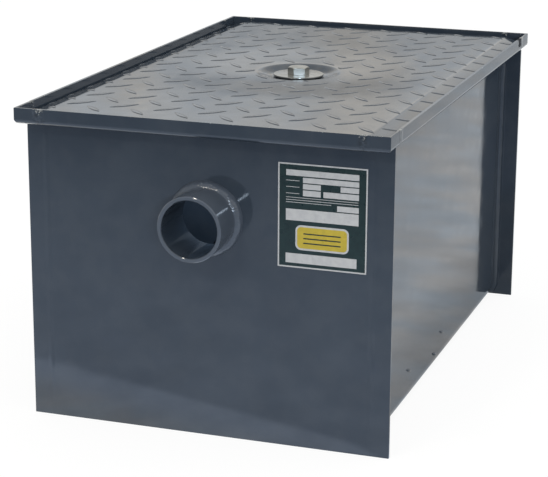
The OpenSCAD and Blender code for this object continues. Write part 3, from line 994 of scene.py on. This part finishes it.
def rounded(x0, z0, x1, z1, radius):
    """Outline of a rectangle given in shares of the label, its corners rounded by a radius in metres."""
    left, right = label_low.x + x0 * label_width, label_low.x + x1 * label_width
    low, high = label_high.z - z1 * label_height, label_high.z - z0 * label_height
    corners = ((right, low, -90), (right, high, 0), (left, high, 90), (left, low, 180))
    outline = []
    for x, z, start in corners:
        cx = x - math.copysign(radius, x - (left + right) / 2)
        cz = z - math.copysign(radius, z - (low + high) / 2)
        outline += arc_points(cx, cz, radius, start, start + 90, ROUND_STEPS)
    return outline


def label_print(name, outlines, material, layer):
    """Thin raised prints on the label, one layer over another."""
    front = label_low.y - PRINT_T * layer
    points, faces = [], []
    for outline in outlines:
        first, count = len(points), len(outline)
        for y in (front, front + PRINT_T):
            points += [(x, y, z) for x, z in outline]
        faces.append(tuple(first + k for k in range(count)))
        faces.append(tuple(first + 2 * count - 1 - k for k in range(count)))
        for k in range(count):
            n = (k + 1) % count
            faces.append((first + k, first + count + k, first + count + n, first + n))
    patch = mesh_object(name, points, faces, material, flat=True)
    merge(patch)
    dress(patch, "tank", "label_film")


def make_label():
    """A white border, fields and rules, and a yellow plaque with three bars."""
    wide = LABEL_BORDER / label_width
    high = LABEL_BORDER / label_height
    border = (
        (0, 0, 1, high), (0, 1 - high, 1, 1),
        (0, high, wide, 1 - high), (1 - wide, high, 1, 1 - high),
    )
    pale = [rounded(*edges, PRINT_CORNER_R) for edges in (*border, *LABEL_FIELDS, *LABEL_RULES)]
    label_print("label_fields", pale, label_white, 1)
    x0, z0, x1, z1 = PLAQUE
    face = (x0 + FACE_INSET_X, z0 + FACE_INSET_Z, x1 - FACE_INSET_X, z1 - FACE_INSET_Z)
    bars = []
    for share in BAR_STARTS:
        z = z0 + (z1 - z0) * share
        bars.append(rounded(x0 + BAR_INSET, z, x1 - BAR_INSET, z + BAR_H, PRINT_CORNER_R))
    label_print("label_plaque", [rounded(*PLAQUE, PLAQUE_R)], label_white, 1)
    label_print("label_plaque_face", [rounded(*face, FACE_CORNER_R)], label_yellow, 2)
    label_print("label_plaque_bars", bars, label_green, 3)


make_label()


# Stage: a white floor, a white room and soft lamps

CAMERA_PLACE = (0.5804, -1.7647, 0.6406)
CAMERA_PAN = 18.943
CAMERA_TILT = 15.681
CAMERA_ROLL = 0.327
CAMERA_LENS = 122.15
CAMERA_SENSOR = 36

# Floor, in metres and strengths: in reflections it glows with painted light, bright by the object, dimmer
# beside the right wall, dimmest at that wall's foot as a painted shadow, and fades with the distance ahead
# of the front
FLOOR_HALF = 30.0
FLOOR_WHITE = 1.06
FLOOR_SHADOW = 0.15
PAPER = (0.85, 0.85, 0.85)
GROUND = (0.50, 0.50, 0.50)
COOL = (0.871, 0.959, 1.045)
WARM = (0.990, 0.980, 0.961)
SKY = (0.80, 0.92, 1.14)
CLOSE_AHEAD = (-0.322, -0.306)
CLOSE_GLOW = 1.87
BESIDE_X = (0.10, 0.15)
BESIDE_Y = (-0.268, -0.258)
BESIDE_GLOW = 0.90
WALL_FOOT_X = (0.26, 0.165)
WALL_FOOT_PAINTED_SHADOW = -0.42
OUTER_X = (0.42, 0.54)
OUTER_SHARE = 0.80
FAR_AHEAD = (-1.35, -0.34)
FAR_GLOW = (0.36, 1.14)
SKY_AHEAD = (-0.22, -0.30)
FLOOR_PATCHES = (0.87, 1.05)

# Room, by the direction of a reflected ray: darker behind the camera and low down, with faint patches
ROOM_COOL = (0.87, 0.92, 0.97)
ROOM_WARM = (1.03, 0.98, 0.90)
ROOM_BACK = (-0.7, 0.25, 0.50, 1.0)
ROOM_LOW = (0.12, 0.24, 0.51, 1.13)
ROOM_PATCHES = (-0.17, 0.10)
PATCHES_END = (0.55, 0.30)
SLANT_FROM = (0.28, 0.50)

# Name, place, aim, size, watts, colour, and turn about the beam in degrees
LAMPS = (
    ("flash", (1.40, -3.10, 0.85), (0, -0.2, 0.25), (0.90, 0.13), 22.0, (0.70, 0.84, 1.0), 21),
    ("ceiling", (-0.57, -2.74, 1.86), (0, -0.3, 0.2), (0.30, 0.30), 9.0, (1.0, 0.92, 0.80), 0),
    ("overhead", (-0.24, -1.00, 2.30), (0, -0.3, 0.2), (0.22, 0.22), 4.5, (1.0, 0.93, 0.84), 0),
    ("inside", (0, -0.19, 0.265), (0, -0.10, 0.10), (0.16, 0.10), 0.20, (0.80, 0.90, 1.0), 0),
)


def rays(tree):
    """How far a ray is seen by the camera, and how far it is a reflection."""
    camera = add(tree, "ShaderNodeLightPath", "Is Camera Ray")
    glossy = Value(tree, camera.socket.node.outputs["Is Glossy Ray"])
    return camera, glossy


def floor_glow(tree):
    """The floor's painted glow that the object mirrors, with a painted shadow at the right wall's foot."""
    point, x, y, _ = place(tree)
    ahead = y * 0.955 + (x * -1.0).most(-0.2) * 0.295 - x.ramp(0.12, 0.19) * 0.02
    beside = x.ramp(*BESIDE_X) * y.ramp(*BESIDE_Y)
    close = ahead.ramp(*CLOSE_AHEAD)
    near = beside * (BESIDE_GLOW - CLOSE_GLOW) + CLOSE_GLOW
    # Painted shadow: the glow drops at the right wall's foot
    near = near * (beside * x.ramp(*WALL_FOOT_X, 0.0, WALL_FOOT_PAINTED_SHADOW) + 1.0)
    near = near * x.ramp(*OUTER_X, 1.0, OUTER_SHARE)
    far = ahead.ramp(*FAR_AHEAD, *FAR_GLOW)
    mirrored = far * (close * -1.0 + 1.0) + near * close
    mirrored = mirrored * cloud(tree, point, 15.0, 3, 0.55).ramp(0.36, 0.64, *FLOOR_PATCHES)
    tint = mix(tree, cloud(tree, point, 14.0, 2, 0.5, seed=4.0).ramp(0.32, 0.68), COOL, WARM)
    tint = mix(tree, ahead.ramp(*SKY_AHEAD), tint, SKY)
    return add(tree, "ShaderNodeEmission", 0, {"Color": tint, "Strength": mirrored})


def make_floor():
    """Pale floor that keeps a soft shadow, with a glow of its own in reflections."""
    material, tree = blank("floor")
    camera, glossy = rays(tree)
    white = add(tree, "ShaderNodeEmission", 0, {"Color": (1.0, 1.0, 1.0), "Strength": FLOOR_WHITE})
    paper = add(tree, "ShaderNodeBsdfDiffuse", 0, {"Color": PAPER})
    ground = add(tree, "ShaderNodeBsdfDiffuse", 0, {"Color": GROUND})
    seen = mix_shader(tree, FLOOR_SHADOW, white, paper)
    shown = mix_shader(tree, camera, ground, seen)
    shown = mix_shader(tree, glossy, shown, floor_glow(tree))
    out = tree.nodes.new("ShaderNodeOutputMaterial")
    tree.links.new(shown.socket, out.inputs["Surface"])
    half = FLOOR_HALF
    points = [(-half, -half, 0), (half, -half, 0), (half, half, 0), (-half, half, 0)]
    floor = mesh_object("floor", points, [(0, 1, 2, 3)], material, flat=True)


def mix_shader(tree, amount, first, second):
    """Blends two shaders."""
    node = tree.nodes.new("ShaderNodeMixShader")
    feed(tree, node.inputs[0], amount)
    tree.links.new(first.socket, node.inputs[1])
    tree.links.new(second.socket, node.inputs[2])
    return Value(tree, node.outputs[0])


def make_world():
    """White surroundings, dimmer on the camera's side, with faint clouds in reflections."""
    world = bpy.data.worlds.new("room")
    bpy.context.scene.world = world
    world.use_nodes = True
    tree = world.node_tree
    tree.nodes.clear()
    direction = add(tree, "ShaderNodeTexCoord", "Generated")
    x, y, z = parts(tree, direction)
    camera, _ = rays(tree)
    patches = cloud(tree, direction, 16.0, 3, 0.55).ramp(0.38, 0.62, *ROOM_PATCHES)
    room = y.ramp(*ROOM_BACK) * z.ramp(*ROOM_LOW)
    room = room * (patches * z.ramp(*PATCHES_END) + 1.0)
    room = room * ((x * 0.5 - y * 0.3) * z.ramp(*SLANT_FROM) + 1.0)
    warmth = cloud(tree, direction, 20.0, 2, 0.5, seed=4.0).ramp(0.40, 0.60)
    tint = mix(tree, warmth, ROOM_COOL, ROOM_WARM)
    lit = add(tree, "ShaderNodeBackground", 0, {"Color": tint, "Strength": room})
    white = add(tree, "ShaderNodeBackground", 0, {"Color": (1.0, 1.0, 1.0), "Strength": 1.0})
    shown = mix_shader(tree, camera, lit, white)
    out = tree.nodes.new("ShaderNodeOutputWorld")
    tree.links.new(shown.socket, out.inputs["Surface"])


def lamp(name, spot, aim, size, power, colour, turn):
    """A soft lamp that points at a place, turned about its beam."""
    data = bpy.data.lights.new(name, "AREA")
    data.shape = "RECTANGLE"
    data.size, data.size_y = size
    data.energy = power
    data.color = colour
    light = bpy.data.objects.new(name, data)
    light.location = spot
    beam = (Vector(aim) - Vector(spot)).to_track_quat("-Z", "Y")
    light.rotation_euler = (beam @ Quaternion((0, 0, 1), math.radians(turn))).to_euler()
    bpy.context.scene.collection.objects.link(light)


def make_camera():
    """The photograph's view, from a fit to the box's corners."""
    data = bpy.data.cameras.new("camera")
    data.sensor_width = CAMERA_SENSOR
    data.lens = CAMERA_LENS
    camera = bpy.data.objects.new("camera", data)
    turn = (
        Matrix.Rotation(math.radians(CAMERA_PAN), 4, "Z")
        @ Matrix.Rotation(math.radians(90 - CAMERA_TILT), 4, "X")
        @ Matrix.Rotation(math.radians(CAMERA_ROLL), 4, "Z")
    )
    camera.matrix_world = Matrix.Translation(CAMERA_PLACE) @ turn
    bpy.context.scene.collection.objects.link(camera)
    bpy.context.scene.camera = camera


make_floor()
make_world()
for row in LAMPS:
    lamp(*row)
make_camera()
bpy.context.scene.view_settings.view_transform = "Standard"
